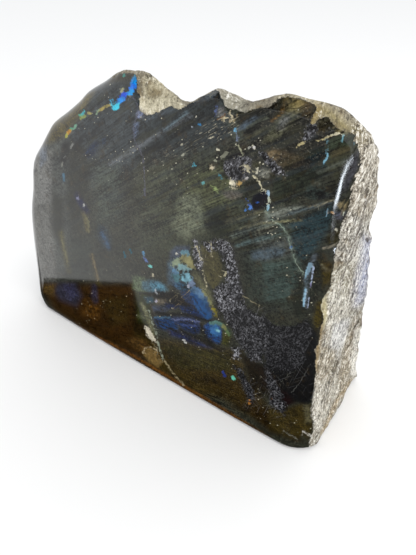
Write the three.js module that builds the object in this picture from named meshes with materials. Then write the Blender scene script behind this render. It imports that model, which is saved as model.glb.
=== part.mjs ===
// Free-standing slab of labradorite: one stone with a polished face, a polished left end and a sawn
// base. Its top, right side and back are left as they broke.
// Millimetres. +X runs along the polished face, -Y is the side the face looks to, +Z is up.

import * as THREE from "three";
import { mergeVertices } from "three/addons/utils/BufferGeometryUtils.js";

// Driving dimensions
const faceY = -35; // the polished face where it meets the base
const faceLean = 2; // how far the face leans back over its height
const leanHeight = 160;
const leftRounding = 20; // radius between the face and the left end, near the base
const topRounding = 7; // radius along the upper edge of the face
const footRounding = 18; // radius between the face and the right side, at the foot
const edgeRounding = 5; // further up that edge
const shoulderRounding = 12; // and at its top
const baseRounding = 3; // radius all round the sawn base
const leftCrown = 1.2; // how far the face falls away towards its left end
const rightCrown = 0.8;
const rightSideX = 104.5;
const footFlare = 2.7; // the right side spreads this much at the base
const shoulderFlare = 1.6; // and this much towards the top
const cornerRounding = 16; // between the broken top and the right side
const backEdgeRounding = 2; // between the back and the other broken sides
const chipRounding = 2; // where two chips meet in a ridge
const hollowRounding = 3; // where the planes of a chip meet
const creaseRounding = 1.5; // where the polish ends, along the face
const backCreaseRounding = 3; // and along the back
const backCreaseReach = [-25, -8]; // from the one to the other, along y

// Outline of the polished body seen from the front, as [x, z], clockwise from below the base
const outlinePoints = [
  [-95, -14], [-102, 0], [-104, 12], [-99, 34], [-92.5, 56], [-85, 76], [-76.5, 92], [-70, 108],
  [-60, 119], [-52, 127.5], [-47, 132], [-36, 138.5], [-26, 145], [-20, 149.5], [-9, 155], [1, 160.5],
  [12, 164], [26, 167], [50, 168], [84, 168.5], [97, 167.5], [104, 163], [108, 152], [109, 130],
  [110, 60], [110, -14],
];
const outlineSteps = 3; // straight pieces between two outline points

// Where the roundings and crowns of the polished body grow to their full size, as [none, full]
const lowHeights = [110, 10];
const footHeights = [42, 18];
const shoulderHeights = [80, 128];
const leftReach = [20, -90];
const rightReach = [60, 100];
const leftCrownReach = [30, -100];
const rightCrownReach = [60, 110];

// Profile of the broken back, as [z, y]: the back leans forward more and more
const backProfile = [
  [0, 36], [12, 32], [60, 17.5], [88, 11.5], [104, 6.5], [127, -1], [141, -9.5], [152, -19.5],
  [160, -27.5], [166, -34], [175, -48],
];
const backLean = 0.93; // cosine of the mean lean, which turns a depth into a distance
const heelCut = 5; // the back of the foot steps in this much at the right end
const heelReach = [70, 104];
const heelHeights = [45, 10];

// Broad facets of the back, as [depth at the origin, slope along x, slope along z]
const backFacets = [[1.5, 0.03, -0.02], [2.8, -0.05, 0.015], [1, 0, 0]];

// Ledges of the back: each is a step along a line through [x, z] at an angle in degrees
const backLedges = [
  { through: [-40, 70], angle: 25, height: -3.2 },
  { through: [20, 95], angle: 160, height: 2.4 },
  { through: [60, 50], angle: 70, height: -2.6 },
  { through: [-70, 40], angle: 105, height: 2.2 },
  { through: [10, 30], angle: 8, height: -2 },
];
const longLedge = { through: [104, 103], angle: 14, height: -1.5 }; // runs on to the right side
const longLedgeWander = 0.5; // how much of the other ledges' wandering it shares
const ledgeRun = 1.8; // half the width of a ledge's riser
const ledgeWander = [{ length: 22, height: 4, shift: 0 }, { length: 9, height: 1.5, shift: 3 }];
const reliefReach = [100, 60]; // facets and ledges fade out before the right side
const reliefHeights = [146, 118]; // and below the crest

// Right side: it flares at both ends, and a crack, a groove and a facet run down it along lines
// through [y, z] at an angle in degrees
const footFlareHeights = [45, 0];
const shoulderFlareHeights = [98, 122];
const sideCrack = { through: [-15, 110], angle: 92, run: 1.2, depth: 1.3, wander: 0.35, heights: [76, 92] };
const sideGroove = { through: [12, 50], angle: 88, run: 1, depth: 1.6, wander: 0.25, heights: [60, 50] };
const sideFacet = { through: [16.5, 50], angle: 104, run: 1, share: 0.9 }; // fills most of the groove

// Chips: each is the corner between planes, and the stone is gone where it lies outside them all
const chips = [
  // the scoop to the right of the knob
  [
    { through: [12, -35, 146], facing: [-0.42, -0.8, 1] },
    { through: [12.5, -35, 150], facing: [1, -1.3, 0] },
  ],
  // the saddle behind it
  [
    { through: [14, -20, 155.7], facing: [0.7, 1.1, 1] },
    { through: [37, -31, 150.8], facing: [-0.65, 1, 1] },
    { through: [60, -35, 160], facing: [-1, 0, 0] },
  ],
  // the back of the knob
  [{ through: [10, -35, 165], facing: [0, 0.35, 1] }, { through: [40, -35, 160], facing: [-1, 0, 0] }],
  // the notch to the right of the middle peak, and the dip behind it
  [
    { through: [58, -35, 152], facing: [-0.5, -0.75, 1] },
    { through: [53, -35, 160], facing: [1, -0.6, 0.55] },
  ],
  [
    { through: [62, -33, 158.6], facing: [0.5, 0.5, 1] },
    { through: [62, -33, 158.6], facing: [-0.38, 0.5, 1] },
  ],
  // the bevel on the right shoulder
  [{ through: [95, -35, 155.5], facing: [0, -1.2, 1] }, { through: [89, -35, 155], facing: [1, -1.2, 0] }],
  // the crest
  [{ through: [60, -35, 164.2], facing: [0, 0.35, 1] }],
];

// Unevenness of the broken sides, as wave length and height
const coarseLumps = { length: 14, height: 0.9 };
const fineLumps = { length: 6, height: 0.5 };
const latticeWaves = [127.1, 311.7, 74.7]; // large uneven steps that make neighbouring values unlike
const latticeSpread = 43758.5453;

// The net of the mesh: a box around the stone, drawn in towards a thin core that the stone holds
const netLow = [-104, -35, 0];
const netHigh = [106, 37, 166];
const netCells = [41, 16, 32];
const netCrowding = 0.35; // how much closer the rows lie towards the top
const coreLow = [-45, -19, 24];
const coreHigh = [86, -15, 100];
const rayReach = 150; // further than the stone's surface lies from the core
const rayHalvings = 24;
const tolerance = 0.001;

const stoneColour = 0x3c3f37;
const polishRoughness = 0.15;

function smooth([from, to], value) {
  const t = THREE.MathUtils.clamp((value - from) / (to - from), 0, 1);
  return t * t * (3 - 2 * t);
}

// A smooth step across a line, one before it and none behind it
function riser(run, distance) {
  return smooth([run, -run], distance);
}

// The larger of two distances, with a round edge of the given radius where they cross
function fillet(a, b, radius) {
  return Math.min(Math.max(a, b), -radius) + Math.hypot(Math.max(a + radius, 0), Math.max(b + radius, 0));
}

// Height of a line of [position, height] points at a position
function heightAt(points, position) {
  let [fromPosition, fromHeight] = points[0];
  for (const [toPosition, toHeight] of points) {
    if (position <= toPosition) {
      const t = THREE.MathUtils.clamp((position - fromPosition) / (toPosition - fromPosition || 1), 0, 1);
      return THREE.MathUtils.lerp(fromHeight, toHeight, t);
    }
    [fromPosition, fromHeight] = [toPosition, toHeight];
  }
  return fromHeight;
}

// A repeatable random number between 0 and 1 for each point of a unit lattice
function latticeValue(i, j, k) {
  const wave = Math.sin(i * latticeWaves[0] + j * latticeWaves[1] + k * latticeWaves[2]) * latticeSpread;
  return wave - Math.floor(wave);
}

// Smooth unevenness between -1 and 1 with a unit wave length
function lumps(x, y, z) {
  const [i, j, k] = [Math.floor(x), Math.floor(y), Math.floor(z)];
  const [u, v, w] = [smooth([0, 1], x - i), smooth([0, 1], y - j), smooth([0, 1], z - k)];
  let total = 0;
  for (const di of [0, 1]) {
    for (const dj of [0, 1]) {
      for (const dk of [0, 1]) {
        const share = (di ? u : 1 - u) * (dj ? v : 1 - v) * (dk ? w : 1 - w);
        total += share * latticeValue(i + di, j + dj, k + dk);
      }
    }
  }
  return 2 * total - 1;
}

// Distance from a line through a point at an angle in degrees, positive to its left
function lineDistance(u, v, { through, angle }) {
  const radians = THREE.MathUtils.degToRad(angle);
  return (v - through[1]) * Math.cos(radians) - (u - through[0]) * Math.sin(radians);
}

function planeDistance(x, y, z, plane) {
  const [nx, ny, nz] = plane.facing;
  const [px, py, pz] = plane.through;
  return ((x - px) * nx + (y - py) * ny + (z - pz) * nz) / Math.hypot(nx, ny, nz);
}

const outline = new THREE.SplineCurve(outlinePoints.map(([x, z]) => new THREE.Vector2(x, z))).getPoints(
  outlineSteps * (outlinePoints.length - 1),
);

// Distance outside the outline, negative inside it
function outlineDistance(x, z) {
  let nearest = Infinity;
  let inside = false;
  outline.forEach((from, index) => {
    const to = outline[(index + 1) % outline.length];
    const [ex, ez] = [to.x - from.x, to.y - from.y];
    const along = THREE.MathUtils.clamp(((x - from.x) * ex + (z - from.y) * ez) / (ex * ex + ez * ez), 0, 1);
    nearest = Math.min(nearest, Math.hypot(x - from.x - along * ex, z - from.y - along * ez));
    if (from.y > z !== to.y > z && x < from.x + ((z - from.y) / ez) * ex) {
      inside = !inside;
    }
  });
  return inside ? -nearest : nearest;
}

// Radius of the edge all round the polished face
function faceRounding(x, z) {
  const left = (leftRounding - topRounding) * smooth(leftReach, x) * smooth(lowHeights, z);
  const rightEdge = edgeRounding
    + (footRounding - edgeRounding) * smooth(footHeights, z)
    + (shoulderRounding - edgeRounding) * smooth(shoulderHeights, z);
  return topRounding + left + (rightEdge - topRounding) * smooth(rightReach, x);
}

// Distance outside the body as it was ground and polished, before its rough sides are taken into account
function polishedBody(x, y, z) {
  const crown = leftCrown * smooth(leftCrownReach, x) ** 2 * smooth(lowHeights, z)
    + rightCrown * smooth(rightCrownReach, x) + (faceLean * z) / leanHeight;
  const body = fillet(faceY + crown - y, outlineDistance(x, z), faceRounding(x, z));
  return fillet(body, -z, baseRounding);
}

// Wandering of the lines along which the stone broke
function breakWander(x, y, z) {
  return ledgeWander.reduce((total, { length, height, shift }) => {
    return total + height * lumps(x / length + shift, y / length, z / length);
  }, 0);
}

function ledgeRise(ledge, x, z, wander) {
  return ledge.height * (1 - riser(ledgeRun, lineDistance(x, z, ledge) + wander));
}

// Depth of the broken back, with its heel, facets and ledges
function backDepth(x, z, wander) {
  const heel = heelCut * smooth(heelReach, x) * smooth(heelHeights, z);
  const facets = Math.min(...backFacets.map(([depth, slopeX, slopeZ]) => depth + slopeX * x + slopeZ * z));
  const ledges = backLedges.reduce((rise, ledge) => rise + ledgeRise(ledge, x, z, wander), 0);
  const relief = (facets + ledges) * smooth(reliefReach, x)
    + ledgeRise(longLedge, x, z, longLedgeWander * wander);
  return heightAt(backProfile, z) - heel + relief * smooth(reliefHeights, z);
}

// Distance outside the broken right side, with its crack, its groove and the facet behind that
function rightSide(x, y, z, wander) {
  const flare = footFlare * smooth(footFlareHeights, z) + shoulderFlare * smooth(shoulderFlareHeights, z);
  const crack = riser(sideCrack.run, lineDistance(y, z, sideCrack) - sideCrack.wander * wander)
    * smooth(sideCrack.heights, z);
  const groove = riser(sideGroove.run, lineDistance(y, z, sideGroove) - sideGroove.wander * wander)
    * smooth(sideGroove.heights, z);
  const facet = riser(sideFacet.run, lineDistance(y, z, sideFacet));
  const sunk = sideCrack.depth * crack + sideGroove.depth * groove * (1 - sideFacet.share * facet);
  return x - (rightSideX + flare - sunk);
}

// Distance outside the broken top
function brokenTop(x, y, z) {
  const hollows = chips.map((planes) => {
    const distances = planes.map((plane) => planeDistance(x, y, z, plane));
    return distances.reduce((hollow, distance) => -fillet(-hollow, -distance, hollowRounding));
  });
  return hollows.reduce((top, hollow) => fillet(top, hollow, chipRounding));
}

// Distance outside the broken top, right side and back
function brokenBody(x, y, z) {
  const wander = breakWander(x, y, z);
  const back = (y - backDepth(x, z, wander)) * backLean;
  const shoulder = fillet(brokenTop(x, y, z), rightSide(x, y, z, wander), cornerRounding);
  const lumpy = [coarseLumps, fineLumps].reduce((total, { length, height }) => {
    return total + height * lumps(x / length, y / length, z / length);
  }, 0);
  return fillet(shoulder, back, backEdgeRounding) + lumpy;
}

function stoneDistance(x, y, z) {
  const crease = THREE.MathUtils.lerp(creaseRounding, backCreaseRounding, smooth(backCreaseReach, y));
  return fillet(polishedBody(x, y, z), brokenBody(x, y, z), crease);
}

// The place where a ray from inside the stone comes out of it
function surfacePoint(start, direction) {
  let inner = 0;
  let outer = rayReach;
  const point = new THREE.Vector3();
  for (let step = 0; step < rayHalvings; step += 1) {
    const middle = (inner + outer) / 2;
    point.copy(start).addScaledVector(direction, middle);
    if (stoneDistance(point.x, point.y, point.z) < 0) {
      inner = middle;
    } else {
      outer = middle;
    }
  }
  return point;
}

function stoneGeometry() {
  const size = netHigh.map((high, axis) => high - netLow[axis]);
  const net = new THREE.BoxGeometry(...size, ...netCells);
  net.deleteAttribute("normal");
  net.deleteAttribute("uv");
  net.translate(...netLow.map((low, axis) => low + size[axis] / 2));
  const geometry = mergeVertices(net, tolerance);
  const places = geometry.getAttribute("position");
  const coreStart = new THREE.Vector3(...coreLow);
  const coreEnd = new THREE.Vector3(...coreHigh);
  for (let index = 0; index < places.count; index += 1) {
    const knot = new THREE.Vector3().fromBufferAttribute(places, index);
    const rise = knot.z / netHigh[2];
    knot.z = netHigh[2] * rise * (1 + netCrowding * (1 - rise));
    const start = knot.clone().clamp(coreStart, coreEnd);
    const point = surfacePoint(start, knot.sub(start).normalize());
    places.setXYZ(index, point.x, point.y, point.z < tolerance ? 0 : point.z);
  }
  // the origin is the middle of the stone's box, at the height of the base
  geometry.computeBoundingBox();
  const middle = geometry.boundingBox.getCenter(new THREE.Vector3());
  geometry.translate(-middle.x, -middle.y, 0);
  geometry.computeVertexNormals();
  return geometry;
}

const group = new THREE.Group();
const stone = new THREE.Mesh(
  stoneGeometry(),
  new THREE.MeshStandardMaterial({ color: stoneColour, roughness: polishRoughness, metalness: 0 }),
);
stone.name = "stone";
group.add(stone);

export default group;
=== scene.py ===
import bpy
import math
import numpy as np
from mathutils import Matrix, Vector


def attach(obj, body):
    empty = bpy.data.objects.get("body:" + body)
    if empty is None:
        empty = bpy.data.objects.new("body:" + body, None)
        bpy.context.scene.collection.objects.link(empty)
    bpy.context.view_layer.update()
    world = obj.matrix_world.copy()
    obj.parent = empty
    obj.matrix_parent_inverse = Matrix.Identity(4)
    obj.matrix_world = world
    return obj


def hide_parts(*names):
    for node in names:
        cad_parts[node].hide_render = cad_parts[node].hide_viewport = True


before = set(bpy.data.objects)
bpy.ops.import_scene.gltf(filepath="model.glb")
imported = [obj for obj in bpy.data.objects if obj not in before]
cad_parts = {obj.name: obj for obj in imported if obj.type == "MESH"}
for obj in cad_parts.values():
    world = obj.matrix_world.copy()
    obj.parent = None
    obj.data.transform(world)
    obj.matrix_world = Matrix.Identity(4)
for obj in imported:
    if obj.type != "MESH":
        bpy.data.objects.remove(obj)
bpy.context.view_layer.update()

# the camera, at the place the photo was taken from

photo = {
    "width": 416, "height": 555, "focal": 476.0,     # in its own pixels
    "pixelSize": 0.55,                               # of a pixel on the stone, in millimetres
}
camera = {
    "place": (0.14965, -0.17304, 0.2),
    "turn": 36.57,          # degrees to the left of straight on
    "down": 34.53,          # degrees below level
    "sensor": 36.0,
}

def addCamera():
    made = bpy.data.objects.new("camera", bpy.data.cameras.new("camera"))
    made.data.sensor_width = camera["sensor"]
    made.data.lens = photo["focal"]/photo["height"]*camera["sensor"]
    made.data.clip_start = 0.01
    made.location = camera["place"]
    made.rotation_euler = (math.radians(90 - camera["down"]), 0, math.radians(camera["turn"]))
    bpy.context.scene.collection.objects.link(made)
    bpy.context.scene.camera = made
    bpy.context.view_layer.update()
    return made

eye = addCamera()
print("camera placed")

def photoPixels(points):
    # where points of the stone, in metres, stand in the photo
    turn = np.array(eye.matrix_world)[:3, :3]
    seen = (points - np.array(camera["place"])) @ turn
    return (photo["width"]/2 + photo["focal"]*seen[:, 0]/-seen[:, 2],
            photo["height"]/2 - photo["focal"]*seen[:, 1]/-seen[:, 2])

# the shape of the stone in millimetres, the same as the CAD solid's

stoneShape = {
    "faceY": -35.0,             # the polished face where it meets the base
    "faceLean": 2.0,            # how far the face leans back over its height
    "leanHeight": 160.0,
    "leftRounding": 20.0,
    "topRounding": 7.0,
    "footRounding": 18.0,       # down the right edge
    "edgeRounding": 5.0,
    "shoulderRounding": 12.0, "shoulderHeights": (80, 128),
    "baseRounding": 3.0,
    "leftCrown": 1.2, "rightCrown": 0.8,
    "rightSideX": 104.5,
    "footFlare": 2.7, "shoulderFlare": 1.6,
    "cornerRounding": 16.0,
    "backEdgeRounding": 2.0,
    "chipRounding": 2.0,
    "hollowRounding": 3.0,
    "creaseRounding": 1.5, "backCreaseRounding": 3.0,
    "outline": "-95,-14 -102,0 -104,12 -99,34 -92.5,56 -85,76 -76.5,92 -70,108 -60,119 -52,127.5 "
               "-47,132 -36,138.5 -26,145 -20,149.5 -9,155 1,160.5 12,164 26,167 50,168 84,168.5 "
               "97,167.5 104,163 108,152 109,130 110,60 110,-14",
    "outlineSteps": 3,
    "backProfile": "0,36 12,32 60,17.5 88,11.5 104,6.5 127,-1 141,-9.5 152,-19.5 160,-27.5 166,-34 175,-48",
    "backLean": 0.93,
    # flat areas of the back: depth, slopes along x and z
    "backFacets": [(3.0, 0.03, -0.02), (4.3, -0.05, 0.015), (2.5, 0.0, 0.0)],
    "facetRise": -1.5,
    "heelCut": 5.0,             # the back foot steps in at the right end
    # steps of the back, along a line through (x, z) at an angle, and their height
    "backLedges": [((-40, 70), 25, -3.2), ((20, 95), 160, 2.4), ((60, 50), 70, -2.6),
                   ((-70, 40), 105, 2.2), ((10, 30), 8, -2.0)],
    "longLedge": ((104, 103), 14, -1.5),
    "ledgeRun": 1.8,
    # lines down the right side through (y, z) at an angle, and how deep they cut
    "sideCrack": ((-15, 110), 92), "crackDepth": 1.3, "crackRun": 1.2,
    "sideGroove": ((12, 50), 88), "grooveDepth": 1.6,
    "sideFacet": ((16.5, 50), 104), "facetShare": 0.9,
    # each chip is the corner between planes, given by a point and the way they face
    "chips": [
        [((12, -35, 146), (-0.42, -0.8, 1)), ((12.5, -35, 150), (1, -1.3, 0))],
        [((14, -20, 155.7), (0.7, 1.1, 1)), ((37, -31, 150.8), (-0.65, 1, 1)), ((60, -35, 160), (-1, 0, 0))],
        [((10, -35, 165), (0, 0.35, 1)), ((40, -35, 160), (-1, 0, 0))],
        [((58, -35, 152), (-0.5, -0.75, 1)), ((53, -35, 160), (1, -0.6, 0.55))],
        [((95, -35, 155.5), (0, -1.2, 1)), ((89, -35, 155), (1, -1.2, 0))],
        [((62, -33, 158.6), (0.5, 0.5, 1)), ((62, -33, 158.6), (-0.38, 0.5, 1))],
        [((60, -35, 164.2), (0, 0.35, 1))],
    ],
    "wobbles": [(22, 0, 4.0), (9, 3, 1.5)],         # of ledges and cracks: length, shift, height
    "lumps": [(14.0, 0.9), (6.0, 0.5)],             # of the broken surface: length, height
    "middle": (1.8278, 0.9072, 0.0),    # the middle of its box, which stands over the origin
}

def places(text):
    # "10,60 95,60" as rows of numbers
    return np.array([pair.split(",") for pair in text.split()], float)

def spline(p, steps):
    out = []
    last = len(p) - 1
    for i in range(last):
        a, b, c, d = p[max(i - 1, 0)], p[i], p[i + 1], p[min(i + 2, last)]
        for t in np.arange(steps)/steps:
            out.append(0.5*(2*b + (c - a)*t + (2*a - 5*b + 4*c - d)*t*t + (3*b - a - 3*c + d)*t**3))
    out.append(p[-1])
    return np.array(out)

outline = spline(places(stoneShape["outline"]), stoneShape["outlineSteps"])

def outlineDistance(x, z):
    nearest = np.full(x.shape, np.inf)
    inside = np.zeros(x.shape, bool)
    for (x0, z0), (x1, z1) in zip(outline, np.roll(outline, -1, axis=0)):
        ex, ez = x1 - x0, z1 - z0
        along = np.clip(((x - x0)*ex + (z - z0)*ez)/(ex*ex + ez*ez), 0, 1)
        nearest = np.minimum(nearest, np.hypot(x - x0 - along*ex, z - z0 - along*ez))
        if ez:
            inside ^= ((z0 > z) != (z1 > z)) & (x < x0 + (z - z0)/ez*ex)
    return np.where(inside, -nearest, nearest)

def smooth(start, end, value):
    t = np.clip((value - start)/(end - start), 0, 1)
    return t*t*(3 - 2*t)

def fillet(a, b, radius):
    corner = np.hypot(np.maximum(a + radius, 0), np.maximum(b + radius, 0))
    return np.minimum(np.maximum(a, b), -radius) + corner

def latticeValue(i, j, k):
    wave = np.sin(i*127.1 + j*311.7 + k*74.7)*43758.5453
    return wave - np.floor(wave)

def lumps(x, y, z):
    i, j, k = np.floor(x), np.floor(y), np.floor(z)
    u, v, w = smooth(0, 1, x - i), smooth(0, 1, y - j), smooth(0, 1, z - k)
    total = 0
    for di in (0, 1):
        for dj in (0, 1):
            for dk in (0, 1):
                share = (u if di else 1 - u)*(v if dj else 1 - v)*(w if dk else 1 - w)
                total = total + share*latticeValue(i + di, j + dj, k + dk)
    return 2*total - 1

def lineDistance(u, v, through, angle):
    a = math.radians(angle)
    return (v - through[1])*math.cos(a) - (u - through[0])*math.sin(a)

def planeDistance(x, y, z, plane):
    (px, py, pz), (nx, ny, nz) = plane
    return ((x - px)*nx + (y - py)*ny + (z - pz)*nz)/math.sqrt(nx*nx + ny*ny + nz*nz)

def polishedBody(x, y, z):
    s = stoneShape
    low = smooth(110, 10, z)
    right = (s["edgeRounding"] + (s["footRounding"] - s["edgeRounding"])*smooth(42, 18, z)
             + (s["shoulderRounding"] - s["edgeRounding"])*smooth(*s["shoulderHeights"], z))
    rounding = (s["topRounding"] + (s["leftRounding"] - s["topRounding"])*smooth(20, -90, x)*low
                + (right - s["topRounding"])*smooth(60, 100, x))
    crown = (s["leftCrown"]*smooth(30, -100, x)**2*low + s["rightCrown"]*smooth(60, 110, x)
             + s["faceLean"]*z/s["leanHeight"])
    body = fillet(s["faceY"] + crown - y, outlineDistance(x, z), rounding)
    return fillet(body, -z, s["baseRounding"])

def backDepth(x, z, wobble):
    s = stoneShape
    heel = s["heelCut"]*smooth(70, 104, x)*smooth(45, 10, z)
    facets = np.min([depth + alongX*x + alongZ*z for depth, alongX, alongZ in s["backFacets"]], axis=0)
    ledges = s["facetRise"]
    run = s["ledgeRun"]
    for through, angle, height in s["backLedges"]:
        ledges = ledges + height*smooth(-run, run, lineDistance(x, z, through, angle) + wobble)
    through, angle, height = s["longLedge"]
    long = height*smooth(-run, run, lineDistance(x, z, through, angle) + 0.5*wobble)
    relief = (facets + ledges)*(1 - smooth(60, 100, x)) + long
    return np.interp(z, *places(s["backProfile"]).T) - heel + relief*smooth(146, 118, z)

def rightSide(x, y, z, wobble):
    s = stoneShape
    flare = s["footFlare"]*smooth(45, 0, z) + s["shoulderFlare"]*smooth(98, 122, z)
    run = s["crackRun"]
    crack = smooth(run, -run, lineDistance(y, z, *s["sideCrack"]) - 0.35*wobble)*smooth(76, 92, z)
    groove = smooth(1, -1, lineDistance(y, z, *s["sideGroove"]) - 0.25*wobble)*smooth(60, 50, z)
    facet = smooth(1, -1, lineDistance(y, z, *s["sideFacet"]))
    cut = s["crackDepth"]*crack + s["grooveDepth"]*groove*(1 - s["facetShare"]*facet)
    return x - (s["rightSideX"] + flare - cut)

def brokenBody(x, y, z):
    s = stoneShape
    wobble = sum(height*lumps(x/length + shift, y/length, z/length) for length, shift, height in s["wobbles"])
    top = None
    for chip in s["chips"]:
        hollow = planeDistance(x, y, z, chip[0])
        for plane in chip[1:]:
            hollow = -fillet(-hollow, -planeDistance(x, y, z, plane), s["hollowRounding"])
        top = hollow if top is None else fillet(top, hollow, s["chipRounding"])
    back = (y - backDepth(x, z, wobble))*s["backLean"]
    body = fillet(fillet(top, rightSide(x, y, z, wobble), s["cornerRounding"]), back, s["backEdgeRounding"])
    for length, height in s["lumps"]:
        body = body + height*lumps(x/length, y/length, z/length)
    return body

def stoneDistance(x, y, z):
    s = stoneShape
    crease = s["creaseRounding"] + (s["backCreaseRounding"] - s["creaseRounding"])*smooth(-25, -8, y)
    return fillet(polishedBody(x, y, z), brokenBody(x, y, z), crease)

# the net of points that is drawn tight onto that shape

net = {
    "low": (-104, -35, 0), "high": (106, 37, 166),
    "cells": (200, 44, 154), "quickCells": (100, 24, 76),
    "crowding": 0.35,                                     # closer rows towards the top
    "coreLow": (-45, -19, 24), "coreHigh": (86, -15, 100),
    "reach": 150.0, "steps": 17,
    "baseSnap": 0.01,                                     # lower points lie flat on the base
}

def netPoints():
    cells = net["cells"]
    quads = []
    for axis in range(3):
        u, v = [a for a in range(3) if a != axis]
        a, b = np.meshgrid(np.arange(cells[u]), np.arange(cells[v]), indexing="ij")
        for side in (0, cells[axis]):
            corner = np.zeros((a.size, 4, 3), int)
            corner[:, :, axis] = side
            for n, (du, dv) in enumerate([(0, 0), (1, 0), (1, 1), (0, 1)]):
                corner[:, n, u] = a.ravel() + du
                corner[:, n, v] = b.ravel() + dv
            outward = (side > 0) == (axis != 1)
            quads.append(corner if outward else corner[:, ::-1])
    corners = np.concatenate(quads)
    knots, faces = np.unique(corners.reshape(-1, 3), axis=0, return_inverse=True)
    share = knots/np.array(cells, float)
    share[:, 2] *= 1 + net["crowding"]*(1 - share[:, 2])
    low, high = np.array(net["low"]), np.array(net["high"])
    return low + share*(high - low), faces.reshape(-1, 4)

def stretchNet(knots):
    core = np.clip(knots, net["coreLow"], net["coreHigh"])
    ray = knots - core
    ray /= np.linalg.norm(ray, axis=1)[:, None]
    near, far = np.zeros(len(ray)), np.full(len(ray), net["reach"])
    for step in range(net["steps"]):
        middle = (near + far)/2
        inside = stoneDistance(*(core + ray*middle[:, None]).T) < 0
        near, far = np.where(inside, middle, near), np.where(inside, far, middle)
    points = core + ray*((near + far)/2)[:, None]
    points[points[:, 2] < net["baseSnap"], 2] = 0
    return points

def pointNormals(points, faces):
    a, b, c, d = (points[faces[:, n]] for n in range(4))
    cross = np.cross(c - a, d - b)
    total = np.zeros_like(points)
    for n in range(4):
        np.add.at(total, faces[:, n], cross)
    return total/np.maximum(np.linalg.norm(total, axis=1), 1e-12)[:, None]

knots, faces = netPoints()
form = stretchNet(knots)
normals = pointNormals(form, faces)
print("net drawn tight:", len(form), "points,", len(faces), "quads")

# where each marking lies, in pixels of the photo, and its tone; an outline is filled, a line is drawn
# with a half width, and the number before it is the width of its soft edge

# the polished face as the photo shows it, running past the stone's left end and foot
polishedFace = ("10,60 95,60 112,79 120,74 127,73 134,73 137,75 136.5,79 137,83 137.5,87 136.5,90 138,93 "
                "141,95.5 140,99 139,102 139,109 141,111 145,114 150,115 156,113 163,110 168,107 "
                "172,106.5 176,109 180,109.5 184,107 188,104.5 194,102 199,98.5 204,95 211,91.5 216,89 "
                "219,91 221,96 223,101 225,106 229,108.5 233,110 236,109 240,111.5 246,113 250,110.5 "
                "256,109 262,108 269,108 274,106 276.5,102 275,99 279,97.5 290,97 300,99 307,101 313,104 "
                "317,107 315,111 312,117 310,123 313,125 317,121 319,117 323,115 328,117 331,121 334,126 "
                "340,130 347,132 353,133 356,136 354,140 355,143 359,145 357,149 360,154 361,158 360,163 "
                "361,168 357,171 358,175 354,178 355,183 350,187 352,192 350,198 351,203 348,207 348,212 "
                "346,214 346,219 342,222 341,230 338,234 340,240 337,246 334,256 334,266 332,274 331,283 "
                "329,290 325,295 322,300 321,306 322,312 324,318 321,325 320,336 318,345 314,350 316,357 "
                "315,362 316,370 315,380 315,388 313.5,394 312.5,401 311,408 311,413 312.5,419 314,422 "
                "312.5,427 313.5,432 310,438 308,450 308,480 10,480")

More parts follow.
